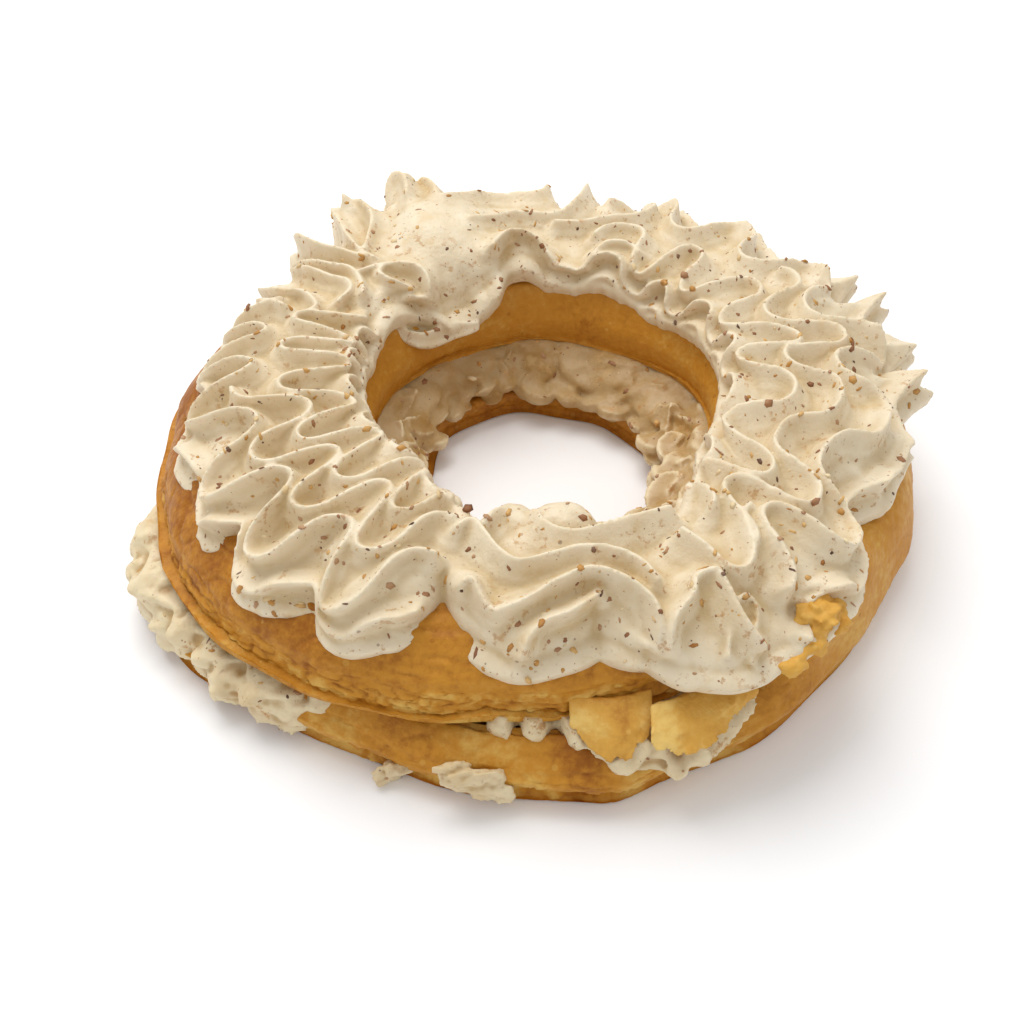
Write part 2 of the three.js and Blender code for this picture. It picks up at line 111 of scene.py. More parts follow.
# How far the cream's outer edge reaches, by angle.
OUTER_EDGE = ((121, 93), (130, 100), (134, 92), (141, 97), (147, 89), (153, 94), (160, 88),
              (167, 91), (173, 88), (178, 92), (184, 89), (190, 93), (197, 96), (205, 92),
              (214, 96), (218, 90), (225, 98), (235, 91), (241, 95.5), (247, 91), (253, 81),
              (258, 87), (266, 91.5), (277, 85.5), (283, 90), (288, 98), (294, 102),
              (300, 101), (311, 99.5), (318, 96), (328, 85), (334, 92), (346, 96),
              (352, 92), (359, 103), (363, 93), (368, 104), (374, 94), (379, 106), (383, 95),
              (387, 106), (396, 93), (407, 102), (416, 93), (422, 101), (430, 93),
              (440, 101), (444, 94), (448, 99), (456, 92), (465, 94), (468, 89), (471.5, 98),
              (474, 94), (477.5, 99), (481, 93))
# How high the cream ends on the lid's inner wall, by angle.
INNER_HEM = ((30, 36.5), (41, 34.5), (50, 33), (61, 37), (67, 38.5), (77, 35.5), (88, 37),
             (96, 42), (104, 41), (112, 37), (119, 33), (130, 33), (138, 36), (151, 41),
             (161, 38), (167, 34), (180, 37), (195, 35), (210, 37), (240, 35), (270, 36),
             (300, 34), (330, 37), (378, 38.5), (390, 36.5))
# The knot where the piping ends: its angle, half-width, and how much higher it stands.
KNOT_AT = 118
KNOT_WIDTH = 17
KNOT_RISE = 0.36
# The smooth mound on the knot: x and y of its middle, and its half-widths.
MOUND_AT = (-30, 57)
MOUND_SIZE = (15, 20)
# Where the cream's outer edge curls up round the knot: angle, width and height.
HORNS = ((117, 7, 6), (130, 3.5, 9), (141, 3.5, 7), (152, 3, 3), (160, 3, 3))
TURN_STEPS = 44
# Stretches where the piping runs free, with crests of their own: x and y of their corners.
FREE_STRETCHES = ((74, 161), (251, 303))
# Stretches where the crests stand wider apart.
WIDE_STRETCHES = ((30, 74), (161, 190))
FREE_CRESTS = (
    ((-50, 35), (-44, 38), (-37, 38), (-32, 36), (-30, 32), (-30, 29), (-32, 27)),
    ((-43, 38), (-44, 34), (-40, 31), (-35, 31)),
    ((-65, 76), (-60, 65), (-55, 53), (-50, 45), (-46, 41)),
    ((-55, 74), (-49, 62), (-49, 52), (-50, 45)),
    ((-73, 60), (-69, 55), (-63, 50), (-56, 47), (-50, 43)),
    ((-72, 45), (-66, 40), (-59, 35), (-53, 31), (-51, 26), (-54, 21)),
    ((-80, 36), (-76, 32), (-70, 28), (-64, 26), (-60, 20), (-62, 17)),
    ((-76, 54), (-68, 46), (-60, 41), (-53, 38), (-49, 31), (-47, 24)),
    ((-79, 27), (-73, 23), (-69, 20)),
    ((-58, 72), (-50, 79), (-44, 83), (-40, 79), (-39, 71)),
    ((-40, 79), (-36, 84), (-32, 79), (-30, 71)),
    ((-28, 70), (-21, 77), (-17, 83), (-9, 85), (0, 84), (4, 92)),
    ((-20, 57), (-13, 62), (-7, 67), (6, 68), (13, 80), (16, 92)),
    ((-13, 43), (-11, 48), (-8, 52), (-2, 52), (3, 47), (7, 43), (10, 42), (14, 45), (19, 50),
     (25, 50), (28, 46)),
    ((5, 63), (13, 63), (22, 66), (30, 68), (36, 76), (34, 84)),
    ((-20, -62), (-17, -60), (-14, -65), (-11, -70), (-7, -73), (0, -71), (6, -69), (14, -70),
     (19, -73), (22, -78)),
    ((-20, -78), (-17, -77), (-15, -81), (-12, -84), (-5, -82), (1, -78), (8, -75), (15, -77),
     (20, -81), (22, -86), (21, -92)),
    ((-7, -93), (-5, -89), (-1, -86), (4, -84), (10, -80)),
    ((-14, -60), (-11, -55), (-6, -53), (-3, -56), (-2, -61)),
    ((-2, -60), (1, -63), (6, -64), (13, -61), (20, -58), (26, -56)),
    ((24, -90), (25, -86), (29, -81), (30, -77), (34, -75), (36, -78), (40, -86), (44, -90)),
    ((28, -64), (33, -69), (37, -74), (41, -74), (43, -69), (42, -60), (44, -56)),
)
CREAM_STEPS = 1500
CREAM_ACROSS = 150
CREAM_CURL = 118

RIDGE_DEPTH = 7.2
RIDGE_WIDTH = 5.6
RIDGE_SHARP = 2.2
RIDGE_TILT = 0.8
RIDGE_LEAN = 0.35
RIDGE_LIP = 0.5
RIDGE_ROUND = 0.5
TORN_SPOT = np.array([60.0, -80.0, 40.0])
TORN_SIZE = (6, 5.5, 5.5)
TORN_DEPTH = 4.5
CREAM_VOXEL = 0.6

# The lumps of filling along the seam: angle, distance out, height, length and thickness.
SEAM_PLACES = (
    (199, 110, 15, 7, 1.25), (203, 112.5, 12, 6, 1.2), (207.5, 112.5, 14.5, 7, 1.25),
    (212, 111.5, 11, 6, 1.1), (216, 109.5, 13, 4, 1), (221, 107.5, 12, 5, 1),
    (225, 108.5, 10, 5, 1), (230, 106, 11.5, 6, 1), (234, 103.5, 10, 5, 1),
    (238.5, 99, 12.5, 4, 0.9), (263, 94.5, 17, 2.5, 0.5), (268, 95, 17, 3, 0.5),
    (273.5, 97, 16.5, 2.5, 0.6), (277, 97.5, 17, 3, 0.6),
)
CURD_STEPS = 54
FILLING_VOXEL = 0.7
# How each layer of a torn flake is set back from the one below.
FLAKE_STEP = np.array((0, -0.5, 0.35))
CRUMB_VOXEL = 0.4

ELEVATION = math.radians(44.9)
CAMERA_AWAY = 0.303
CAMERA_AIM = (-0.0081, -0.0099, 0.0)
FLOOR_HALF = 3
SKY_LIGHT = 0.74
KEY_PLACE = (-0.22, 0.36, 0.86)
KEY_SIZE = 0.65
KEY_POWER = 6.3


# ---- small helpers

def swell(angle, centre, width):
    """An even swell round one angle: 1 there, fading over the given width."""
    away = (angle - centre + 540) % 360 - 180
    return np.exp(-(away / width) ** 2)


def span(angle, low, high, soft):
    """0 outside a span of angles, 1 inside it, with soft ends."""
    away = np.abs((angle - (low + high) / 2 + 540) % 360 - 180)
    share = np.clip(((high - low) / 2 + soft - away) / soft, 0, 1)
    return share * share * (3 - 2 * share)


def wave(angle, times, shift=0.0):
    return np.sin(np.radians(angle * times + shift))


def mix(a, b, share):
    return a + (b - a) * share


def lumps(points, size, seed):
    """Soft lumps between -1 and 1 of a size in mm, or one size along each axis."""
    cells = points / size + 100.0 + seed * 7.31
    corner = np.floor(cells).astype(np.int64)
    share = cells - corner
    share = share * share * (3 - 2 * share)
    total = np.zeros(points.shape[:-1])
    for step in np.ndindex(2, 2, 2):
        near = corner + step
        key = near[..., 0] * 73856093 ^ near[..., 1] * 19349663 ^ near[..., 2] * 83492791
        key = (key ^ seed * 2654435761) & 0xFFFFFFFF
        key = ((key ^ key >> 15) * 2246822519) & 0xFFFFFFFF
        key = ((key ^ key >> 13) * 3266489917) & 0xFFFFFFFF
        value = (key ^ key >> 16) / 2147483647.5 - 1.0
        weight = np.prod(np.where(np.array(step) == 1, share, 1 - share), axis=-1)
        total += value * weight
    return total


# ---- the choux rings

def base_outer(angle):
    bulge = sum(size * swell(angle, at, width) for at, width, size in BASE_BULGES)
    return BASE_RADIUS + bulge + 0.4 * wave(angle, 17, 40)


def base_inner(angle):
    return HOLE_RADIUS + 1.2 * wave(angle, 3, 70) + 0.6 * wave(angle, 8)


def lid_outer(angle):
    turn = np.radians(angle)
    along = LID_SHIFT[0] * np.cos(turn) + LID_SHIFT[1] * np.sin(turn)
    across = LID_SHIFT[0] * np.sin(turn) - LID_SHIFT[1] * np.cos(turn)
    return (along + np.sqrt(LID_RADIUS ** 2 - across ** 2) + 4 * swell(angle, 222, 22)
            + 0.4 * wave(angle, 9, 20) + 0.3 * wave(angle, 23))


def lid_inner(angle):
    return (LID_HOLE + 1.4 * wave(angle, 2, 60) + 0.8 * wave(angle, 5)
            + LID_FRONT_CUT * span(angle, *LID_FRONT))


def lid_height(angle, radius):
    """Height of the lid's crust at a radius."""
    out = np.clip((LID_ROUND - (lid_outer(angle) - radius)) / LID_ROUND, 0, 1)
    inn = np.clip((LID_INNER_ROUND - (radius - lid_inner(angle))) / LID_INNER_ROUND, 0, 1)
    return (LID_TOP - (LID_TOP - LID_SEAM) * (1 - np.sqrt(1 - out * out))
            - 5 * (1 - np.sqrt(1 - inn * inn)))


def shoulder(angle):
    return span(angle, *SHOULDER)


def base_section(angle):
    """The bottom half's corners as distance out and height, from the hole's foot round."""
    inner = base_inner(angle)
    outer = base_outer(angle)
    rise = SHOULDER_RISE * shoulder(angle)
    wall = mix(outer - 12, lid_outer(angle) - 0.8, np.minimum(1, 4 * shoulder(angle)))
    crest = np.maximum(outer - 9, wall + 1.5)
    return [
        (inner + 5, 0),
        (outer - 8, 0),
        (outer - 2.2, 2.2),
        (outer, BASE_BELLY),
        (outer - 1.6, BASE_BELLY + 3 + rise * 0.3),
        (outer - 4.2, BASE_RIM - 3 + rise * 0.75),
        (crest, BASE_RIM + rise),
        (wall, mix(BASE_SEAT + 1, BASE_RIM + rise - 1.5, shoulder(angle))),
        (wall - 0.2, BASE_SEAT),
        (CROWN_RADIUS, BASE_CUT),
        (inner + 8, BASE_HEEL + 0.5),
        (inner + 1.5, BASE_HEEL - 0.5),
        (inner, 6),
        (inner + 1, 2),
    ]


def lid_section(angle):
    """The lid's corners as distance out and height, from the cut face round."""
    inner = lid_inner(angle)
    outer = lid_outer(angle)

    def dome(inset):
        return outer - inset, lid_height(angle, outer - inset)

    return [
        (inner + 1.5, LID_SEAM + LID_ARCH),
        (CROWN_RADIUS, LID_SEAM),
        (outer - 2, LID_SEAM),
        (outer, LID_SEAM + 1.2),
        *(dome(inset) for inset in (0.5, 1.4, 3.2, 5.5, 8.5, 13)),
        (mix(inner, outer, 0.5), LID_TOP),
        (inner + LID_INNER_ROUND, LID_TOP),
        (inner + 4, lid_height(angle, inner + 4)),
        (inner + 1, LID_TOP - 6.5),
        (inner - 0.6, LID_SEAM + 8),
        (inner, LID_SEAM + 2.5),
    ]


def between(before, start, end, beyond, t):
    """Points on a smooth curve from start to end, at a share t of the way."""
    return 0.5 * (2 * start + (end - before) * t
                  + (2 * before - 5 * start + 4 * end - beyond) * t ** 2
                  + (3 * start - before - 3 * end + beyond) * t ** 3)


def rounded_ring(section, pieces):
    """A grid of points round the ring, its section's corners rounded."""
    angle = np.arange(RING_STEPS) * 360 / RING_STEPS
    corners = np.stack([np.stack(np.broadcast_arrays(*pair, angle)[:2], -1)
                        for pair in section(angle)], 1)
    before = np.roll(corners, 1, 1)
    after = np.roll(corners, -1, 1)
    beyond = np.roll(corners, -2, 1)
    rows = [between(before, corners, after, beyond, t) for t in np.arange(pieces) / pieces]
    profile = np.stack(rows, 2).reshape(RING_STEPS, -1, 2)
    turn = np.radians(angle)[:, None]
    return np.stack([profile[..., 0] * np.cos(turn), profile[..., 0] * np.sin(turn),
                     profile[..., 1]], -1)


def outward(grid):
    """The outward direction at each point of a closed grid."""
    along = np.roll(grid, -1, 0) - np.roll(grid, 1, 0)
    across = np.roll(grid, -1, 1) - np.roll(grid, 1, 1)
    normal = np.cross(along, across)
    return normal / np.maximum(np.linalg.norm(normal, axis=-1, keepdims=True), 1e-9)


def grid_faces(rows, columns, closed=True):
    """The quads of a grid that closes across, and along as well if closed."""
    last = rows if closed else rows - 1
    i, j = np.meshgrid(np.arange(last), np.arange(columns), indexing="ij")
    k, m = (i + 1) % rows, (j + 1) % columns
    return np.stack([i * columns + j, k * columns + j, k * columns + m, i * columns + m],
                    -1).reshape(-1, 4)


# ---- piped cream

def pipe_path():
    """The pipe's way round the ring: its angles, and how far out it has swung."""
    turns = np.array(PIPED_TURNS, float)
    place = np.linspace(0, len(turns) - 1, (len(turns) - 1) * TURN_STEPS + 1)
    step = np.minimum(place.astype(int), len(turns) - 2)
    half_wave = turns[step + 1] - turns[step]
    half_wave = np.convolve(np.pad(half_wave, 30, mode="edge"), np.ones(61) / 61, "valid")
    angle = np.interp(place, np.arange(len(turns)), turns)
    angle = angle + PIPED_LOOP * half_wave * np.sin(2 * np.pi * place)
    share = np.array([SHORT_TURNS.get(turn, 1.0) for turn in PIPED_TURNS])
    reach = share * np.where(np.arange(len(turns)) % 2 == 0, 1, -1)
    ease = (1 - np.cos(np.pi * (place - step))) / 2
    return angle, PIPED_SWING * mix(reach[step], reach[step + 1], ease)


def scalloped(pairs, angle, tipped=0.0):
    """A value given at some angles: round at each high and pointed at each low, or tipped."""
    knots, values = np.array(pairs, float).T
    knots, values = np.append(knots - knots[0], 360), np.append(values, values[0])
    away = (angle - pairs[0][0]) % 360
    step = np.clip(np.searchsorted(knots, away, "right") - 1, 0, len(knots) - 2)
    share = (away - knots[step]) / (knots[step + 1] - knots[step])
    falls = values[step + 1] < values[step]
    lobed = np.where(falls, share ** 1.7, 1 - (1 - share) ** 1.7)
    pointed = np.where(falls, 1 - (1 - share) ** 1.7, share ** 1.7)
    return mix(values[step], values[step + 1], mix(lobed, pointed, tipped))


def cream_reach(angle, side):
    """How far the piped cream spreads out or in from the middle of the piping."""
    front = PIPED_FRONT * span(angle, *FRONT_STRETCH) - KNOT_FLANK * span(angle, *FLANK_STRETCH)
    tipped = np.maximum(span(angle, *POINTED_RIGHT), span(angle, *POINTED_KNOT))
    return np.where(side > 0, scalloped(OUTER_EDGE, angle, tipped) - PIPED_MIDDLE,
                    PIPED_MIDDLE - PIPED_INNER - front)


def cream_skin(angle, alpha):
    """The piped cream's skin without its ridges; alpha turns round its section."""
    side, rise = np.sin(alpha), np.cos(alpha)
    box = PIPED_BOX + KNOT_BOX * swell(angle, 119, 9) * (side > 0)
    boxed = (np.abs(side) ** box + np.abs(rise) ** box) ** (-1 / box)
    side, rise = side * boxed, rise * boxed
    radius = PIPED_MIDDLE + side * cream_reach(angle, side)
    hem = scalloped(INNER_HEM, angle) - PIPED_HEART + PIPED_RISE * 0.35
    curl_up = POINT_CURL * (cream_reach(angle, side) - POINT_START) * span(angle, *POINTED_RIGHT)
    curl_up = curl_up + sum(size * swell(angle, at, width) for at, width, size in HORNS)
    fall = np.where(side > 0, (curl_up - PIPED_SAG) * side ** 2, hem * side ** 2)
    turn = np.radians(angle)
    high = PIPED_RISE * (1 + KNOT_RISE * swell(angle, KNOT_AT, KNOT_WIDTH))
    return np.stack([radius * np.cos(turn), radius * np.sin(turn),
                     PIPED_HEART + high * rise + fall], -1)


def on_skin(angle, out):
    """Points on the skin's top, out from the middle of the piping by given distances."""
    side = np.clip(out / cream_reach(angle, out), -0.985, 0.985)
    return cream_skin(angle, np.arctan2(side, (1 - np.abs(side) ** PIPED_BOX) ** (1 / PIPED_BOX)))


def wander(angle, size, seed):
    return lumps(np.stack([angle, angle * 0 + seed * 5.7, angle * 0], -1), size, seed)


def ridge_lines():
    """The ridges that the star's teeth leave on the cream's skin, with their angles."""
    angle, swing = pipe_path()
    lines = []
    for tooth in range(-3, 4):
        at = tooth * 2 * math.pi / PIPED_TEETH
        here = angle + 0.9 * wander(angle, 9, tooth + 10)
        if abs(tooth) < 2:
            out = swing + PIPED_HALF_WIDTH * math.sin(at) + 1.3 * wander(angle, 11, tooth + 20)
            line = on_skin(here, out)
        else:
            line = cream_skin(here, at + swing / PIPED_SWING * (0.2 if tooth > 0 else 0.32))
        for low, high in FREE_STRETCHES + (WIDE_STRETCHES if tooth == 0 else ()):
            line[(angle % 360 > low) & (angle % 360 < high)] = 999
        lines.append((np.maximum.accumulate(angle), line))
    for corners in FREE_CRESTS:
        points = curve([(*corner, 0) for corner in corners], 12 * len(corners))
        here = np.degrees(np.arctan2(points[:, 1], points[:, 0])) % 360
        line = on_skin(here, np.hypot(points[:, 0], points[:, 1]) - PIPED_MIDDLE)
        lines.append((here, line))
    return lines


def off_ridges(skin, angle):
    """How far each point of the skin lies from the nearest ridge."""
    away = np.full(skin.shape[:2], 99.0)
    for turns, line in ridge_lines():
        square = (line ** 2).sum(1)
        whole = turns[-1] - turns[0] > 300
        for i, here in enumerate(angle):
            low, high = 0, len(line)
            if whole:
                here = (here - turns[0]) % 360 + turns[0]
                low, high = np.searchsorted(turns, (here - 14, here + 14))
            elif not turns.min() - 12 < here < turns.max() + 12:
                continue
            points = skin[i]
            apart = ((points ** 2).sum(1) + (square[low:high]
                     - 2 * points @ line[low:high].T).min(1))
            away[i] = np.minimum(away[i], np.sqrt(np.maximum(apart, 0)))
    return away


def relaxed(grid, times):
    """The grid's values evened out with their neighbours, the ends held."""
    for turn in range(times):
        grid = (np.roll(grid, 1, 0) + np.roll(grid, -1, 0) + 2 * grid) / 4
        grid[:, 1:-1] = (grid[:, 2:] + grid[:, :-2] + 2 * grid[:, 1:-1]) / 4
    return grid


def piped_band():
    """The band of piped cream: steep ridges that lean on one another, hollows between."""
    angle = np.linspace(0, 360, CREAM_STEPS, endpoint=False)
    alpha = np.radians(np.linspace(-CREAM_CURL, CREAM_CURL, CREAM_ACROSS))
    skin = cream_skin(*np.broadcast_arrays(angle[:, None], alpha[None, :]))
    lean = np.radians(angle)[:, None] + 0 * alpha[None, :]
    tilt = alpha[None, :] * RIDGE_TILT + 0 * lean
    normal = np.stack([np.sin(tilt) * np.cos(lean), np.sin(tilt) * np.sin(lean),
                       np.cos(tilt)], -1)
    away = np.hypot(off_ridges(skin, angle), RIDGE_ROUND)
    hollow = 1 - np.clip(1 - away / RIDGE_WIDTH, 0, 1) ** RIDGE_SHARP
    hollow = mix(hollow, relaxed(hollow, 6), np.clip(away / 2 - 0.5, 0, 1))
    inner = np.clip((-np.degrees(alpha) - 70) / 30, 0, 1)
    outer = np.clip((np.degrees(alpha) - 50) / 40, 0, 1)
    mound = np.linalg.norm((skin[..., :2] - MOUND_AT) / MOUND_SIZE, axis=-1)
    mound = np.exp(-mound ** 2.5)
    under = np.clip((np.abs(np.degrees(alpha)) - 86) / 16, 0, 1)
    deep = RIDGE_DEPTH * (1 - 0.4 * inner - 0.45 * outer) * (1 - 0.8 * mound) * (1 - under)
    torn = np.exp(-(np.linalg.norm((skin - TORN_SPOT) / TORN_SIZE, axis=-1)) ** 4)
    deep = deep * (1 + 0.22 * lumps(skin, 22, 6))
    raised = (-deep * hollow + RIDGE_LIP * np.exp(-(away / 0.8) ** 2)
              + 0.35 * np.exp(-((away - 3.4) / 0.55) ** 2) * (1 - mound) + 0.5 * mound
              + 0.5 * lumps(skin, 9, 3) + 0.25 * lumps(skin, 3.5, 4)
              - torn * (TORN_DEPTH - 1.6 * lumps(skin, 2.2, 8)))
    skin = skin + normal * raised[..., None]
    lean_on = RIDGE_LEAN * mix(0.3, 1, span(angle, 130, 250, 30))[:, None]
    lean_on = lean_on * (raised + RIDGE_DEPTH / 2) * np.cos(tilt)
    skin[..., 0] -= np.sin(lean) * lean_on
    skin[..., 1] += np.cos(lean) * lean_on
    foot = cream_skin(angle[:, None] + np.zeros(2), np.radians([[20, -20]]) + 0 * angle[:, None])
    foot[..., 2] = LID_TOP - 6
    return np.concatenate([skin, foot], 1)


def shell(grid):
    """A tube of points with capped ends, as vertices and faces."""
    rows, columns = grid.shape[:2]
    faces = grid_faces(rows, columns, closed=False).tolist()
    faces.append(list(range(columns)))
    faces.append([(rows - 1) * columns + j for j in reversed(range(columns))])
    return grid.reshape(-1, 3), faces


def hoop(grid):
    """A closed ring of points, as vertices and faces."""
    return grid.reshape(-1, 3), grid_faces(*grid.shape[:2]).tolist()


def curve(corners, count):
    """Points along a smooth curve through its corners."""
    corners = np.array(corners, float)
    ends = np.concatenate([[2 * corners[0] - corners[1]], corners,
                           [2 * corners[-1] - corners[-2]]])
    place = np.linspace(0, len(corners) - 1, count)
    step = np.minimum(place.astype(int), len(corners) - 2)
    return between(*(ends[step + k] for k in range(4)), (place - step)[:, None])


def ridge(corners, width, height, foot=3.0, tilt=0.0, steps=40):
    """A sharp-crested fold of cream whose crest follows a curve, thinner at both ends."""
    crest = curve(corners, steps)
    heading = np.gradient(crest, axis=0)
    heading /= np.linalg.norm(heading, axis=1, keepdims=True)
    side = np.cross(heading, (0, 0, 1))
    side /= np.maximum(np.linalg.norm(side, axis=1, keepdims=True), 1e-6)
    up = np.cross(side, heading)
    side, up = (side * math.cos(tilt) + up * math.sin(tilt),
                up * math.cos(tilt) - side * math.sin(tilt))
    across = np.linspace(-1, 1, 17)
    drop = 1 - (1 - np.abs(across)) ** 1.8
    across = np.concatenate([across, (0.5, -0.5)])
    drop = np.concatenate([drop * height, (height + foot, height + foot)])
    size = np.sin(np.pi * np.linspace(0.04, 0.96, steps)) ** 0.45
    return shell(crest[:, None] + (size[:, None] * across * width)[..., None] * side[:, None]
                 - (size[:, None] * drop)[..., None] * up[:, None])


def blob(centre, radii, rough=0.12, seed=1, turn=0.0):
    """A soft uneven lump of cream."""
    grid = np.radians(np.stack(np.meshgrid(np.linspace(-180, 180, 40, endpoint=False),
                                           np.linspace(-88, 88, 24)), -1))
    flat = np.cos(grid[..., 1])
    ball = np.stack([np.cos(grid[..., 0]) * flat, np.sin(grid[..., 0]) * flat,
                     np.sin(grid[..., 1])], -1)
    uneven = 1 + rough * lumps(ball * 10, 6, seed) + rough * lumps(ball * 10, 2.5, seed)
    ball = ball * uneven[..., None] * radii
    c, n = math.cos(math.radians(turn)), math.sin(math.radians(turn))
    ball = np.stack([ball[..., 0] * c - ball[..., 1] * n, ball[..., 0] * n + ball[..., 1] * c,
                     ball[..., 2]], -1)
    return shell(ball + np.array(centre, float))


def polar(angle, radius, z):
    turn = math.radians(angle)
    return radius * math.cos(turn), radius * math.sin(turn), z


def sheet(top, bottom, bulge, thick, ragged=0.0, seed=1, columns=60, rows=24):
    """A draped flap between a top edge and a bottom edge, bulging and with a torn edge."""
    upper, lower = curve(top, columns), curve(bottom, columns)
    down = np.linspace(0, 1, rows)[None, :, None]
    face = mix(upper[:, None], lower[:, None], down)
    out = face * (1, 1, 0)
    out = out / np.linalg.norm(out, axis=-1, keepdims=True)
    face = face + out * (bulge * np.sin(np.pi * down ** 1.3))
    torn = lumps(face * (1, 1, 0), 2.2, seed) + 0.6 * lumps(face * (1, 1, 0), 0.9, seed + 1)
    face[..., 2] += ragged * torn * down[..., 0] ** 6
    face = face + out * (0.4 * ragged * lumps(face, 1.8, seed + 2))[..., None]
    ends = np.sin(np.pi * np.linspace(0.03, 0.97, columns)) ** 0.3
    inner = face - out * (thick * ends)[:, None, None] + (0, 0, 0.3)
    return shell(np.concatenate([face, inner[:, ::-1]], 1))


# ---- setting pieces down

def ring_shift():
    """How far the ring's axis lies from the row's, in metres."""
    low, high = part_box("base_ring")
    angle = np.arange(48) * 7.5
    turn = np.radians(angle)
    x = base_outer(angle) * np.cos(turn)
    y = base_outer(angle) * np.sin(turn)
    own = np.array([x.min() + x.max(), y.min() + y.max()]) / 2000
    return np.array([(low[0] + high[0]) / 2 - own[0], (low[1] + high[1]) / 2 - own[1], 0.0])


SHIFT = ring_shift()


def read_out(items, name, width, kind=np.float32):
    """One value, such as a place, for each of a mesh's points or edges."""
    values = np.empty(len(items) * width, kind)
    items.foreach_get(name, values)
    return values.reshape(-1, width)


def mark(mesh, name, values):
    """Gives each point of a mesh a value that its material reads."""
    mesh.attributes.new(name, "FLOAT", "POINT").data.foreach_set(
        "value", np.asarray(values, np.float32).reshape(-1))


def put(name, data):
    """An object in the scene for a mesh, a lamp or a camera."""
    made = bpy.data.objects.new(name, data)
    bpy.context.scene.collection.objects.link(made)
    return made


def mesh_of(name, points, faces):
    mesh = bpy.data.meshes.new(name)
    mesh.from_pydata((points / 1000 + SHIFT).tolist(), [], faces)
    mesh.validate()
    return mesh


def set_down(name, mesh, material, slot, *nodes):
    """Makes a piece of the pastry from a mesh."""
    piece = put(name, mesh)
    mesh.polygons.foreach_set("use_smooth", np.ones(len(mesh.polygons), bool))
    mesh.materials.append(material)
    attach(piece, "root")
    if nodes:
        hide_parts(*nodes)
    return piece


def fused(name, shells, voxel, smooth):
    """One closed skin round all the given shells."""
    points, faces = [], []
    start = 0
    for shell_points, shell_faces in shells:
        points.append(shell_points)
        faces.extend([[start + k for k in face] for face in shell_faces])
        start += len(shell_points)
    rough = mesh_of(name, np.concatenate(points), faces)
    holder = put(name + "_rough", rough)
    remesh = holder.modifiers.new("skin", "REMESH")
    remesh.mode = "VOXEL"
    remesh.voxel_size = voxel / 1000
    soften = holder.modifiers.new("soften", "SMOOTH")
    soften.factor = 0.5
    soften.iterations = smooth
    result = bpy.data.meshes.new_from_object(
        holder.evaluated_get(bpy.context.evaluated_depsgraph_get()))
    bpy.data.objects.remove(holder)
    bpy.data.meshes.remove(rough)
    return main_body(result)


def note_hollows(mesh, rounds=14):
    """Marks how far each point lies in a hollow, in mm, as the mesh attribute "hollow"."""
    a, b = read_out(mesh.edges, "vertices", 2, int).T
    points = read_out(mesh.vertices, "co", 3).astype(float)
    normals = read_out(mesh.vertex_normals, "vector", 3)
    count = np.bincount(a, minlength=len(points)) + np.bincount(b, minlength=len(points)) + 1.0
    even = points.copy()
    for turn in range(rounds):
        total = even.copy()
        for axis in range(3):
            total[:, axis] += np.bincount(a, even[b, axis], len(points))
            total[:, axis] += np.bincount(b, even[a, axis], len(points))
        even = total / count[:, None]
    mark(mesh, "hollow", ((even - points) * normals).sum(1) * 1000)


def main_body(mesh):
    """The mesh without its scraps: only its largest connected body is kept."""
    a, b = read_out(mesh.edges, "vertices", 2, int).T
    label = np.arange(len(mesh.vertices))
    while True:
        low = np.minimum(label[a], label[b])
        lower = label.copy()
        np.minimum.at(lower, a, low)
        np.minimum.at(lower, b, low)
        lower = lower[lower]
        if (lower == label).all():
            break
        label = lower
    largest = np.bincount(label).argmax()
    scraps = np.nonzero(label != largest)[0]
    if len(scraps):
        solid = bmesh.new()
        solid.from_mesh(mesh)
        solid.verts.ensure_lookup_table()
        bmesh.ops.delete(solid, geom=[solid.verts[k] for k in scraps], context="VERTS")
        solid.to_mesh(mesh)
        solid.free()
    note_hollows(mesh)
    return mesh


# ---- materials

def new_group(name, colours, values):
    """A shader group with its sockets: the group, its given inputs and a place in metres."""
    group = bpy.data.node_groups.new(name, "ShaderNodeTree")
    inputs = [(label, "NodeSocketColor", (1, 1, 1, 1)) for label in colours]
    inputs += [(label, "NodeSocketFloat", value) for label, value in values]
    for label, kind, value in inputs:
        socket = group.interface.new_socket(name=label, in_out="INPUT", socket_type=kind)
        socket.default_value = value
    for label, kind in (("Color", "NodeSocketColor"), ("Height", "NodeSocketFloat"),
                        ("Roughness", "NodeSocketFloat")):
        group.interface.new_socket(name=label, in_out="OUTPUT", socket_type=kind)
    given = group.nodes.new("NodeGroupInput").outputs
    return group, given, group.nodes.new("ShaderNodeTexCoord").outputs["Object"]


def hand_out(group, colour, height, shine):
    """Ends a group: links its results to its outputs."""
    end = group.nodes.new("NodeGroupOutput")
    for socket, value in (("Color", colour), ("Height", height), ("Roughness", shine)):
        group.links.new(value, end.inputs[socket])
    return group


def feed(tree, socket, value):
    """Sets a socket to a value, or links another socket to it."""
    if isinstance(value, bpy.types.NodeSocket):
        tree.links.new(value, socket)
    else:
        socket.default_value = value


def add(tree, kind, settings=None, **links):
    """A node with settings by attribute, and its inputs given as values or sockets."""
    node = tree.nodes.new(kind)
    for key, value in (settings or {}).items():
        setattr(node, key, value)
    for key, value in links.items():
        name = key.replace("_", " ")
        feed(tree, node.inputs[int(name[2:]) if name.startswith("at") else name], value)
    return node


def maths(tree, operation, a, b=0.0, c=0.0, clamp=False):
    return add(tree, "ShaderNodeMath", {"operation": operation, "use_clamp": clamp},
               at0=a, at1=b, at2=c).outputs[0]


def blend(tree, share, a, b):
    """From colour a to colour b by a share."""
    return add(tree, "ShaderNodeMix", {"data_type": "RGBA"}, at0=share, at6=a, at7=b).outputs[2]


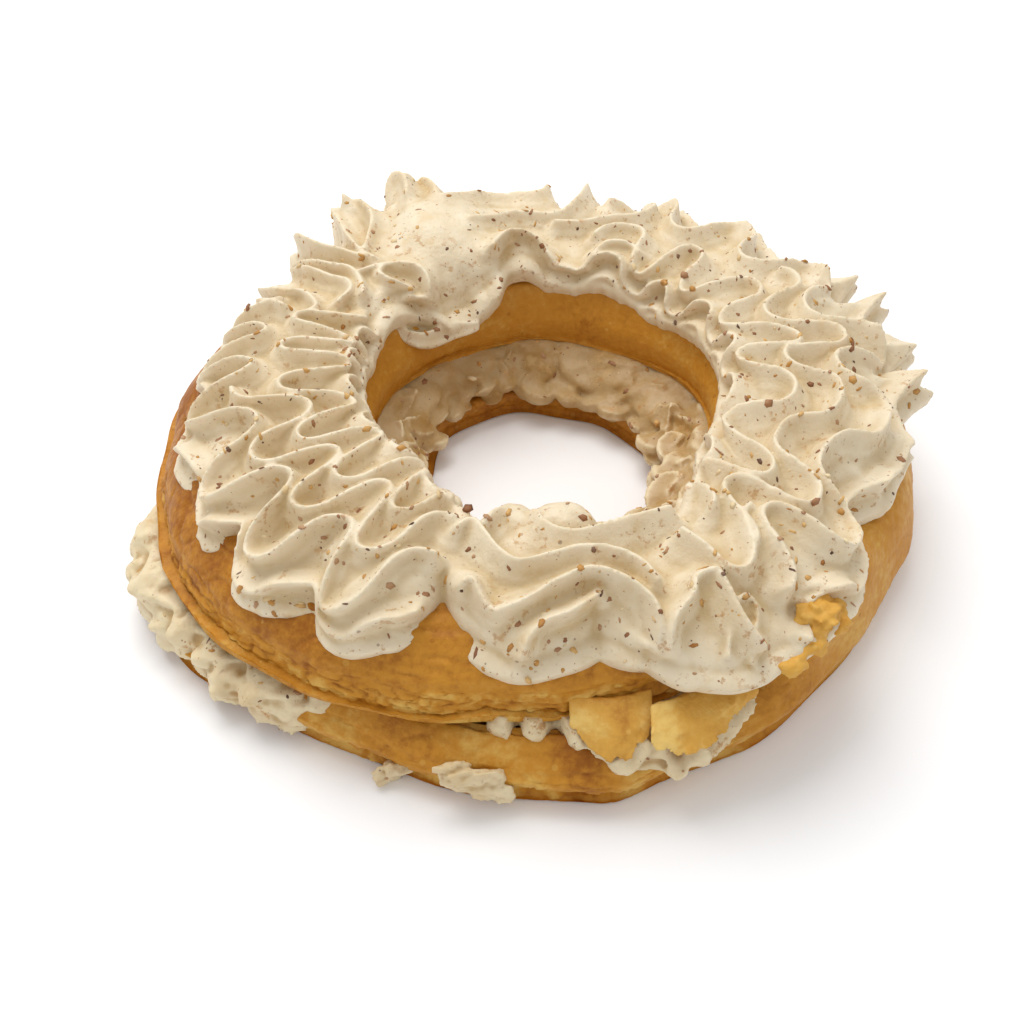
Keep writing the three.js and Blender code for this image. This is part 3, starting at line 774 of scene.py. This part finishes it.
def noise(tree, place, size, detail=2.0, rough=0.5):
    """Soft noise with features of a size in mm."""
    return add(tree, "ShaderNodeTexNoise", Vector=place, Scale=1000 / size, Detail=detail,
               Roughness=rough).outputs["Fac"]


def steps(tree, value, low, high):
    """0 below one value and 1 above another."""
    return add(tree, "ShaderNodeMapRange", {"interpolation_type": "SMOOTHSTEP"}, Value=value,
               From_Min=low, From_Max=high).outputs[0]


def dotted(tree, place, cell, size, share):
    """Scattered round dots, one in some cells: their mask and a random value for each."""
    cells = add(tree, "ShaderNodeTexVoronoi", Vector=place, Scale=1000 / cell, Randomness=0.9)
    parts = add(tree, "ShaderNodeSeparateColor", Color=cells.outputs["Color"])
    reach = maths(tree, "MULTIPLY", parts.outputs[0], size / cell)
    near = maths(tree, "LESS_THAN", cells.outputs["Distance"], reach)
    chosen = maths(tree, "LESS_THAN", parts.outputs[1], share)
    return maths(tree, "MULTIPLY", near, chosen), parts.outputs[2]


def praline_group():
    """Cream with fine nut dust and painted shade in its hollows: dots, smears and clouds of
    colour.
    """
    group, given, place = new_group("praline", ("Cream", "Shade"),
                                    (("Dust", 1.0), ("Hollow", 0.0)))
    clouds = steps(group, noise(group, place, 12, 4, 0.6), 0.4, 0.7)
    # Painted shade: where the mesh lies in a hollow the cream turns to its Shade colour; the
    # clouds add random tone.
    deep = steps(group, given["Hollow"], -0.12, 0.4)
    tone_and_painted_shade = maths(group, "ADD", maths(group, "MULTIPLY", clouds, 0.3),
                   maths(group, "MULTIPLY", deep, 0.6), clamp=True)
    colour = blend(group, tone_and_painted_shade, given["Cream"], given["Shade"])
    for size, low, high, strength, tint in (
            (2.4, 0.56, 0.66, 0.6, (0.50, 0.26, 0.08, 1)),
            (6, 0.54, 0.68, 0.3, (0.66, 0.46, 0.2, 1)),
            (1.2, 0.57, 0.67, 0.35, (0.36, 0.21, 0.11, 1))):
        smear = steps(group, noise(group, place, size, 4, 0.65), low, high)
        patch = steps(group, noise(group, place, size * 4, 1), 0.48, 0.6)
        smear = maths(group, "MULTIPLY", smear, patch)
        smear = maths(group, "MULTIPLY", smear, given["Dust"])
        colour = blend(group, maths(group, "MULTIPLY", smear, strength), colour, tint)
    for cell, size, share in ((2.3, 0.32, 0.55), (4.2, 0.5, 0.5)):
        dots, kind = dotted(group, place, cell, size, share)
        tint = blend(group, steps(group, kind, 0.35, 0.6), (0.20, 0.11, 0.07, 1),
                     (0.42, 0.21, 0.08, 1))
        dots = maths(group, "MULTIPLY", dots, given["Dust"])
        colour = blend(group, maths(group, "MULTIPLY", dots, 0.6), colour, tint)
    height = maths(group, "ADD", noise(group, place, 1.0, 4, 0.6), noise(group, place, 5, 2))
    shine = maths(group, "ADD", maths(group, "MULTIPLY", clouds, 0.08), 0.44)
    return hand_out(group, colour, height, shine)


def baked_group():
    """Baked choux: straw, golden and brown by how browned it is, with grain and specks."""
    group, given, place = new_group("baked", ("Pale", "Golden", "Brown"), (("Browned", 0.5),))
    uneven = maths(group, "SUBTRACT", noise(group, place, 9, 4, 0.6), 0.5)
    fine = maths(group, "SUBTRACT", noise(group, place, 1.8, 4, 0.65), 0.5)
    level = maths(group, "MULTIPLY_ADD", uneven, 0.55, given["Browned"])
    level = maths(group, "ADD", level, maths(group, "MULTIPLY", fine, 0.6))
    colour = blend(group, steps(group, level, 0.1, 0.55), given["Pale"],
                   given["Golden"])
    colour = blend(group, steps(group, level, 0.5, 1.0), colour, given["Brown"])
    for cell, share, strength, tint in ((3.2, 0.35, 0.3, "Pale"), (5.5, 0.3, 0.4, "Brown")):
        dots = maths(group, "MULTIPLY", dotted(group, place, cell, 0.8, share)[0], strength)
        colour = blend(group, dots, colour, given[tint])
    height = maths(group, "ADD", noise(group, place, 3.0, 5, 0.65),
                   maths(group, "MULTIPLY", noise(group, place, 0.9, 3), 0.5))
    shine = maths(group, "MULTIPLY_ADD", uneven, 0.3, 0.5)
    return hand_out(group, colour, height, shine)


PRALINE = praline_group()
BAKED = baked_group()


def material_from(name, group, marked, bump, **values):
    """A material whose colour, gloss and grain come from a group with its own values.

    One input of the group, marked, is read from what is marked on the mesh.
    """
    material = bpy.data.materials.new(name)
    material.use_nodes = True
    tree = material.node_tree
    skin = tree.nodes["Principled BSDF"]
    source = add(tree, "ShaderNodeGroup", {"node_tree": group}, **values)
    marks = add(tree, "ShaderNodeAttribute", {"attribute_name": marked.lower()})
    tree.links.new(marks.outputs["Fac"], source.inputs[marked])
    grain = add(tree, "ShaderNodeBump", Height=source.outputs["Height"], Strength=bump,
                Distance=0.0006)
    tree.links.new(source.outputs["Color"], skin.inputs["Base Color"])
    tree.links.new(source.outputs["Roughness"], skin.inputs["Roughness"])
    tree.links.new(grain.outputs[0], skin.inputs["Normal"])
    return material, skin


def cream_material(name, cream, shade, dust):
    material, skin = material_from(name, PRALINE, "Hollow", 0.4, Cream=(*cream, 1),
                                   Shade=(*shade, 1), Dust=dust)
    skin.inputs["Subsurface Weight"].default_value = 0.2
    skin.inputs["Subsurface Radius"].default_value = (1.0, 0.7, 0.45)
    skin.inputs["Subsurface Scale"].default_value = 0.002
    return material


def crust_material(name, pale, golden, brown):
    material, skin = material_from(name, BAKED, "Browned", 0.6, Pale=(*pale, 1),
                                   Golden=(*golden, 1), Brown=(*brown, 1))
    skin.inputs["Specular IOR Level"].default_value = 0.22
    return material


# The second colour of each cream is its painted shade in hollows, and also the tone of its
# clouds.
CREAM = cream_material("praline_cream", (0.77, 0.66, 0.475), (0.55, 0.39, 0.18), 1.0)
FILLING = cream_material("praline_filling", (0.76, 0.635, 0.405), (0.35, 0.17, 0.012), 1.4)
CRUST = crust_material("baked_crust", (0.67, 0.41, 0.095), (0.54, 0.235, 0.022),
                       (0.29, 0.09, 0.005))
FLAKY = crust_material("flaky_crust", (0.80, 0.54, 0.16), (0.66, 0.35, 0.06), (0.42, 0.16, 0.02))
DARK_BIT = crust_material("dark_nut", (0.24, 0.14, 0.09), (0.15, 0.08, 0.05),
                          (0.07, 0.035, 0.02))
BROWN_BIT = crust_material("roast_nut", (0.48, 0.28, 0.15), (0.34, 0.16, 0.075),
                           (0.2, 0.08, 0.035))
ORANGE_BIT = crust_material("caramel_nut", (0.68, 0.43, 0.17), (0.54, 0.28, 0.08),
                            (0.36, 0.15, 0.04))
PALE_BIT = crust_material("pale_nut", (0.80, 0.66, 0.42), (0.70, 0.52, 0.28), (0.6, 0.38, 0.18))


# ---- the pieces

def flaky(points, mask):
    """Torn layers along a cut edge: each stands out at its foot and is stepped at its top."""
    height = (points[..., 2] + 1.6 * lumps(points * (1, 1, 0.3), 14, 51)
              + 1.0 * lumps(points * (1, 1, 0.3), 5, 52)) / 2.6
    layer = height - np.floor(height)
    torn = np.clip(0.5 + 0.9 * lumps(points, 8, 55), 0, 1)
    crumbs = 0.5 * lumps(points, 1.2, 53) + 0.6 * lumps(points, 2.6, 54)
    cracks = np.clip(1 - 5 * np.abs(lumps(points * (1, 1, 2.6), 6, 56)), 0, 1)
    cracks = cracks + np.clip(1 - 4 * np.abs(lumps(points * (1, 1, 1.7), 2.8, 57)), 0, 1)
    return (mask * (1.1 * torn * (1 - layer) ** 1.6 - 0.8 + 0.5 * crumbs - 0.45 * cracks),
            mask * cracks)


def crust(name, section, where_flaky, level, slot, node):
    """One choux ring with its blisters, wrinkles, pits and torn layers."""
    grid = rounded_ring(section, 12)
    x, y, z = np.moveaxis(grid, -1, 0)
    around, out = np.degrees(np.arctan2(y, x)) % 360, np.hypot(x, y)
    mask = where_flaky(around, out, z)
    ledges, layer = flaky(grid, mask)
    blister = 0.8 * lumps(grid, 24, 1) + 0.45 * lumps(grid, 9, 2)
    crease = np.clip(1 - 4 * np.abs(lumps(grid * (1, 1, 1.8), 6, 3)), 0, 1)
    crease = crease * (0.2 + 0.8 * span(around, 190, 290, 30)) * np.clip((out - 60) / 10, 0.3, 1)
    pits = np.clip(lumps(grid, 2.2, 4) - 0.45, 0, 1)
    raised = (blister - 0.9 + ledges + (1 - mask) * (-0.4 * crease - 0.6 * pits)
              + 0.1 * lumps(grid, 1.2, 5))
    floor_hold = np.clip(z / 2.5, 0, 1)
    grid = grid + outward(grid) * (raised * floor_hold)[..., None]
    grid[..., 2] = np.maximum(grid[..., 2], 0)
    mesh = mesh_of(name, grid.reshape(-1, 3), grid_faces(*grid.shape[:2]).tolist())
    # Creases and the cracks of the torn layers are browned more: painted shade in them.
    browned = (level(around, out, z, grid) + 0.12 * blister + 0.1 * crease * (1 - mask)
               + 0.22 * layer - 0.12 * mask + 0.35 * mask * lumps(grid * (1, 1, 2), 4.5, 58))
    mark(mesh, "browned", browned)
    return set_down(name, mesh, CRUST, slot, node)


def base_browned(around, out, z, points):
    """How browned the bottom half is: in patches at the front, evenly on its shoulder."""
    side = np.clip((out - 70) / 12, 0, 1)
    patch = np.clip(0.5 + 1.6 * lumps(points * (1, 1, 0.6), 19, 61), 0, 1)
    burnt = np.exp(-((around - 274.5) / 4) ** 2) + 0.5 * np.exp(-((around - 250) / 5) ** 2)
    front = 0.28 + 0.36 * patch + 0.5 * burnt
    right = 0.46 + 0.15 * lumps(points, 14, 62)
    outside = mix(front, right, shoulder(around))
    return mix(0.72, outside, side)


def lid_browned(around, out, z, points):
    """How browned the lid is: pale at the cut, darker towards the top and the hole."""
    up = np.clip((z - LID_SEAM) / 12, 0, 1)
    inside = np.clip((60 - out) / 8, 0, 1)
    # The left side is browned more: painted shade there.
    outside = 0.42 + 0.26 * up + 0.12 * lumps(points, 17, 63) + 0.2 * span(around, 150, 205, 25)
    return mix(outside, 0.52, inside)


crust("choux_base", base_section,
      lambda around, out, z: span(around, 200, 292, 16) * np.clip((out - 92) / 4, 0, 1)
      * np.clip((15 - z) / 4, 0, 1) * (0.35 + 0.65 * np.clip((7 - z) / 3, 0, 1)),
      base_browned, "choux_base", "base_ring")
crust("choux_lid", lid_section,
      lambda around, out, z: (0.3 + 0.7 * span(around, 196, 290, 16))
      * np.clip((out - 78) / 4, 0, 1) * np.clip((28 - z) / 4, 0, 1) * np.clip((z - 18.6), 0, 1),
      lid_browned, "choux_lid", "lid_ring")

KNOT_LOBES = [
    ridge([(-41, 27, 37), (-33, 27, 35), (-25, 30, 36), (-17, 33, 34)], 3.5, 3.5, 3, -0.3),
]
FRONT_FOLDS = [
    blob((3, -54.5, 39.5), (8, 6, 6), 0.05, 7), blob((-8, -56, 40.5), (6.5, 6, 5.5), 0.06, 15),
    blob((-25, -49, 41), (4.5, 4.5, 4), 0.3, 8), blob((-23, -54, 38), (4, 4, 4), 0.3, 9),
    ridge([(36, -90, 38), (37, -83, 42), (40, -78, 45), (43, -80, 42), (41, -90, 36)], 3, 5),
]
set_down("piped_cream", fused("piped_cream", [hoop(piped_band()), *KNOT_LOBES, *FRONT_FOLDS],
                              CREAM_VOXEL, 1),
         CREAM, "praline_cream", "top_cream")


def filling_section(angle):
    """The filling's section, and how far it swells into the hole."""
    inner = base_inner(angle) + 3.5
    return [
        (inner + 1.5, BASE_HEEL - 0.6),
        (inner - 0.8, 11),
        (inner + 0.5, 14.5),
        (lid_inner(angle) - 2.5, 18.4),
        (lid_inner(angle) + 3, 20.2),
        (CROWN_RADIUS, 19.5),
        (lid_outer(angle) - 6, 19.5),
        (lid_outer(angle) - 4.5, 16),
        (lid_outer(angle) - 6, 12),
        (CROWN_RADIUS, 10),
    ]


filling_ring = rounded_ring(filling_section, 10)
inside = np.hypot(filling_ring[..., 0], filling_ring[..., 1])
around = np.degrees(np.arctan2(filling_ring[..., 1], filling_ring[..., 0]))
curdled = 1.9 * lumps(filling_ring, 9, 11) + 1.1 * lumps(filling_ring * (1, 1, 1.6), 4, 12)
creased = np.clip(1 - 3.5 * np.abs(lumps(filling_ring * (1, 1, 0.8), 11, 13)), 0, 1)
squeeze = np.clip((54 - inside) / 8, 0, 1) * (1.5 * curdled - 2.2 * creased + 0.6)
filling_ring[..., :2] -= (filling_ring[..., :2] / inside[..., None]) * squeeze[..., None]

draw = np.random.default_rng(7)
CURDS = []
for step in range(CURD_STEPS):
    at = step * 360 / CURD_STEPS + draw.uniform(-3, 3)
    far = draw.uniform(34, 37) if step % 2 else draw.uniform(36, 39)
    low, high = (9, 14) if step % 2 else (12.5, 18.5)
    low, high = low + draw.uniform(-1, 2), high + draw.uniform(-1, 1.5)
    slant = draw.uniform(-9, 9)
    if step % 2 == 0:
        CURDS.append(ridge([polar(at - slant, far + 3.5, 16.5), polar(at, far + 2, 18),
                            polar(at + slant, far + 3.5, 19.5)], 4.5, 4.5, 2, slant / 12))
    CURDS.append(ridge([polar(at - slant, far + 1, high), polar(at, far - 1, (low + high) / 2),
                        polar(at + slant, far + 1.5, low)],
                       draw.uniform(3, 5.5), draw.uniform(3, 5), 3, draw.uniform(-0.6, 0.6)))

SEAM_LUMPS = []
for at, far, high, long, size in SEAM_PLACES:
    SEAM_LUMPS.append(blob(polar(at, far - 6 * size, high - 1), (7 * size, long, 4.2 * size),
                           0.15, int(at), at))
    for layer, lift in enumerate((0, 3.2)):
        swing = draw.uniform(-2, 2)
        SEAM_LUMPS.append(ridge([polar(at - long, far - 6 - 2 * layer, high + lift),
                                 polar(at + swing, far - 1.5 * layer, high + lift - 0.5),
                                 polar(at + long, far - 6 - layer, high + lift - 1)],
                                5 * size, 4 * size, 1, -0.7))
TONGUE = sheet([(5, -91, 17), (16, -92, 18), (30, -89, 19), (45, -79, 21)],
               [(8, -97.5, 15), (13, -99.2, 12.5), (24, -99.4, 10.5), (35, -97.2, 10.5),
                (45, -88.5, 16)], 1.6, 7, 0.5, 5)
TONGUE_FOLDS = [
    ridge([(31, -94, 20), (34, -98, 16), (35, -99, 11.5)], 4, 3.5),
    ridge([(20, -96, 19), (15, -99, 16), (12, -100, 13)], 3.5, 3),
    ridge([(24, -97, 18), (25, -100, 15), (24, -100.5, 11.5)], 3.5, 2.5),
]
filling = set_down("filling", fused("filling", [hoop(filling_ring), *CURDS, *SEAM_LUMPS, TONGUE,
                                                *TONGUE_FOLDS], FILLING_VOXEL, 1),
                   FILLING, "filling", "filling_cream")
# The filling is darker in the hole, most of all on its far side: painted shade, and on the far
# side also the colour of torn crumb.
for point, hollow in zip(filling.data.vertices, filling.data.attributes["hollow"].data):
    away = math.hypot(point.co.x - SHIFT[0], point.co.y - SHIFT[1]) * 1000
    far_side = min(1, max(0, point.co.y / 0.03))
    hollow.value += (0.3 + 0.6 * far_side) * min(1, max(0, (50 - away) / 5))


def flake(name, top, bottom, node, seed, browned):
    """A torn flake of crust: three ragged layers, each a little shorter than the one below."""
    layers = []
    for layer in range(3):
        out = FLAKE_STEP * layer
        lower = mix(np.array(top, float), np.array(bottom, float), 1 - 0.2 * layer)
        layers.append(sheet(np.array(top) + out, lower + out, 1.2, 1.4, 1.1, seed + layer))
    mesh = fused(name, layers, CRUMB_VOXEL, 0)
    places = read_out(mesh.vertices, "co", 3) * 1000
    mark(mesh, "browned", browned + 0.35 * lumps(places, 5, seed))
    set_down(name, mesh, FLAKY, "flaky_crust", node)


flake("flake_left", [(4, -88.5, 22.5), (10, -90, 22.5), (16, -89.5, 22.5), (22, -87, 22.5)],
      [(4, -94, 20.5), (10, -99.5, 16), (16, -100.5, 15.5), (21, -96, 19)],
      "crust_flake_left", 31, 0.55)
flake("flake_right", [(21, -92.5, 24), (28, -90.5, 24), (35, -86.5, 24.5), (44, -80, 25)],
      [(20.5, -100.5, 20), (27, -101, 18.5), (35, -98, 19), (45, -87, 22.5)],
      "crust_flake_right", 35, 0.34)

SMEARS = [
    blob((-16, -101.2, 10), (7, 1.4, 3.6), 0.3, 41, 6),
    blob((-12, -102, 6.5), (4.5, 1.2, 2.4), 0.3, 42, 4),
    blob((-21, -100, 12), (3.6, 1.3, 2.4), 0.3, 43, 12),
    blob((-9.5, -102, 4.5), (2.6, 1.2, 1.8), 0.3, 44),
]
DAB = [blob((-35, -95, 3.5), (4, 1.8, 2.6), 0.4, 45, 20)]
for name, shells in (("cream_smear", SMEARS), ("cream_dab", DAB)):
    set_down(name, fused(name, shells, CRUMB_VOXEL, 0), FILLING, "filling")

TORN_CRUMB = [
    blob((57, -76, 35.5), (5, 4.5, 3), 0.45, 51, 30),
    blob((61, -72, 33.5), (3.2, 4, 2.4), 0.45, 52),
    blob((62.5, -76, 31.5), (3, 2.6, 2), 0.45, 53),
    blob((56, -82, 32), (4, 2.2, 1.8), 0.45, 54, 40),
    blob((51, -87, 31.5), (3.5, 1.8, 1.5), 0.45, 55, 35),
]
torn_crumb = set_down("torn_crumb", fused("torn_crumb", TORN_CRUMB, 0.5, 0), FLAKY, "flaky_crust")
mark(torn_crumb.data, "browned", np.full(len(torn_crumb.data.vertices), 0.5))

# ---- nut bits

def icosahedron():
    """The points and faces of the rough shape that each bit starts from."""
    ball = bmesh.new()
    bmesh.ops.create_icosphere(ball, subdivisions=1, radius=1.0)
    points = np.array([vertex.co for vertex in ball.verts])
    faces = np.array([[vertex.index for vertex in face.verts] for face in ball.faces])
    ball.free()
    return points, faces


def scattered(name, material, host, slot, count, long, seed):
    """Irregular nut bits half sunk into a piece, their lengths between two sizes in mm."""
    draw = np.random.default_rng(seed)
    mesh = bpy.data.objects[host].data
    places = read_out(mesh.vertices, "co", 3)
    normals = read_out(mesh.vertex_normals, "vector", 3)
    seen = np.nonzero(normals[:, 2] > -0.1)[0]
    pick = draw.choice(seen, count, replace=False)
    spot, up = places[pick].astype(float), normals[pick].astype(float)
    side = np.cross(up, draw.normal(size=(count, 3)))
    side /= np.linalg.norm(side, axis=1, keepdims=True)
    other = np.cross(up, side)
    ball, faces = icosahedron()
    ball = ball[None] * (1 + 0.28 * draw.uniform(-1, 1, (count, len(ball), 1)))
    length = mix(*long, draw.random(count) ** 3) / 2000
    ball = ball * np.stack([length, length * draw.uniform(0.35, 0.85, count),
                            length * draw.uniform(0.18, 0.35, count)], -1)[:, None]
    spot = spot - up * length[:, None] * 0.1
    bits = (spot[:, None] + ball[..., :1] * side[:, None] + ball[..., 1:2] * other[:, None]
            + ball[..., 2:] * up[:, None])
    faces = (faces[None] + (np.arange(count) * ball.shape[1])[:, None, None]).reshape(-1, 3)
    mesh = bpy.data.meshes.new(name)
    mesh.from_pydata(bits.reshape(-1, 3).tolist(), [], faces.tolist())
    mark(mesh, "browned", np.repeat(draw.uniform(0.1, 0.8, count), ball.shape[1]))
    set_down(name, mesh, material, slot)


for name, material, count, long, seed in (
        ("bits_dark", DARK_BIT, 300, (0.4, 2.2), 1),
        ("bits_roast", BROWN_BIT, 1000, (0.4, 3.0), 2),
        ("bits_caramel", ORANGE_BIT, 1000, (0.4, 3.0), 3),
        ("bits_pale", PALE_BIT, 250, (0.6, 3.4), 4)):
    scattered(name, material, "piped_cream", "praline_cream", count, long, seed)
    scattered(name + "_inside", material, "filling", "filling", count // 4, long, seed + 10)

# ---- floor, light, camera

floor_mesh = bpy.data.meshes.new("floor")
floor_mesh.from_pydata([(x * FLOOR_HALF, y * FLOOR_HALF, 0)
                        for x, y in ((-1, -1), (1, -1), (1, 1), (-1, 1))], [], [(0, 1, 2, 3)])
floor = put("floor", floor_mesh)
floor_material = bpy.data.materials.new("floor_white")
floor_material.use_nodes = True
floor_tree = floor_material.node_tree
floor_skin = floor_tree.nodes["Principled BSDF"]
floor_skin.inputs["Roughness"].default_value = 0.9
floor_place = floor_tree.nodes.new("ShaderNodeTexCoord").outputs["Object"]
feed(floor_tree, floor_skin.inputs["Base Color"],
     blend(floor_tree, noise(floor_tree, floor_place, 60), (0.94, 0.94, 0.945, 1),
           (0.96, 0.96, 0.965, 1)))
floor_mesh.materials.append(floor_material)

world = bpy.data.worlds.new("studio")
bpy.context.scene.world = world
world.use_nodes = True
sky = world.node_tree.nodes["Background"]
sky.inputs["Color"].default_value = (1, 1, 1, 1)
sky.inputs["Strength"].default_value = SKY_LIGHT


def soft_light(name, place, size, power):
    """A square studio light that faces the pastry."""
    lamp = bpy.data.lights.new(name, "AREA")
    lamp.size = size
    lamp.energy = power
    holder = put(name, lamp)
    holder.location = place
    holder.rotation_euler = (-holder.location).to_track_quat("-Z", "Y").to_euler()


soft_light("key_light", KEY_PLACE, KEY_SIZE, KEY_POWER)

target = np.array(CAMERA_AIM) + SHIFT
camera = bpy.data.cameras.new("camera")
camera.sensor_width = 36
camera.lens = 36 * 1080 / 1024
viewer = put("camera", camera)
viewer.location = (target[0], target[1] - CAMERA_AWAY * math.cos(ELEVATION),
                   CAMERA_AWAY * math.sin(ELEVATION))
viewer.rotation_euler = (math.pi / 2 - ELEVATION, 0, 0)
bpy.context.scene.camera = viewer
bpy.context.scene.view_settings.view_transform = "Standard"
